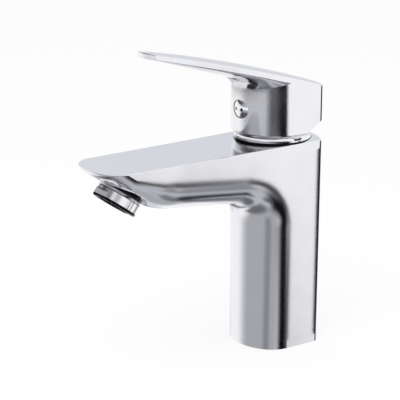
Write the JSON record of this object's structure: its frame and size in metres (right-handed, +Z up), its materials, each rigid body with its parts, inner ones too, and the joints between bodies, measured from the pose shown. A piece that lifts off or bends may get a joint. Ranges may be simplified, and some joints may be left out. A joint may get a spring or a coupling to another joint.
{
  "type": "basin mixer faucet",
  "caption": "Single-lever basin mixer: upright column with a forward spout, slanted aerator and a broad flat lever that lifts for flow and turns for temperature.",
  "frame": {"origin": "on the cartridge axis, in the plane of the deck that the column's foot rests on", "axes": "+Z up out of the deck along the cartridge axis, -Y along the spout, +X to the cold side; a person at the basin looks along +Y"},
  "size_m": [0.044, 0.1318, 0.1627],
  "materials": {
    "chrome": "polished",
    "brass": "machined",
    "rubber": "matte",
    "ceramic": "lapped",
    "cartridge_plastic": "moulded",
    "pale_plastic": "moulded",
    "steel": "satin",
    "red_mark": "gloss",
    "blue_mark": "gloss"
  },
  "bodies": {
    "basin_body": {"faucet_body": "chrome", "base_gasket": "rubber", "aerator_housing": "chrome", "aerator_screen": "steel", "aerator_insert": "pale_plastic", "aerator_washer": "rubber", "cartridge_base": "cartridge_plastic", "port_seals": "rubber", "disc_seal": "rubber", "fixed_disc": "ceramic", "cartridge_housing": "cartridge_plastic", "limit_ring": "pale_plastic", "retaining_nut": "brass", "dome_ring": "chrome"},
    "swivel": {"cartridge_rotor": "cartridge_plastic", "pivot_pin": "steel"},
    "disc_slide": {"disc_driver": "cartridge_plastic", "moving_disc": "ceramic"},
    "lever": {"handle": "chrome", "cartridge_stem": "brass", "grub_screw": "steel", "indicator_plug": "chrome", "hot_mark": "red_mark", "cold_mark": "blue_mark"}
  },
  "joints": [
    {"name": "swivel_turn", "type": "hinge", "parent": "basin_body", "child": "swivel", "pos_m": [0, 0, 0.104], "axis": [0, 0, 1], "range_deg": [-45, 45]},
    {"name": "lever_lift", "type": "hinge", "parent": "swivel", "child": "lever", "pos_m": [0, 0, 0.104], "axis": [-1, 0, 0], "range_deg": [0, 22]},
    {"name": "disc_travel", "type": "slide", "parent": "swivel", "child": "disc_slide", "axis": [0, -1, 0], "range_m": [0, 0.0037]}
  ],
  "couplings": [
    {"joint": "disc_travel", "follows": "lever_lift", "m_per_rad": 0.0096}
  ]
}
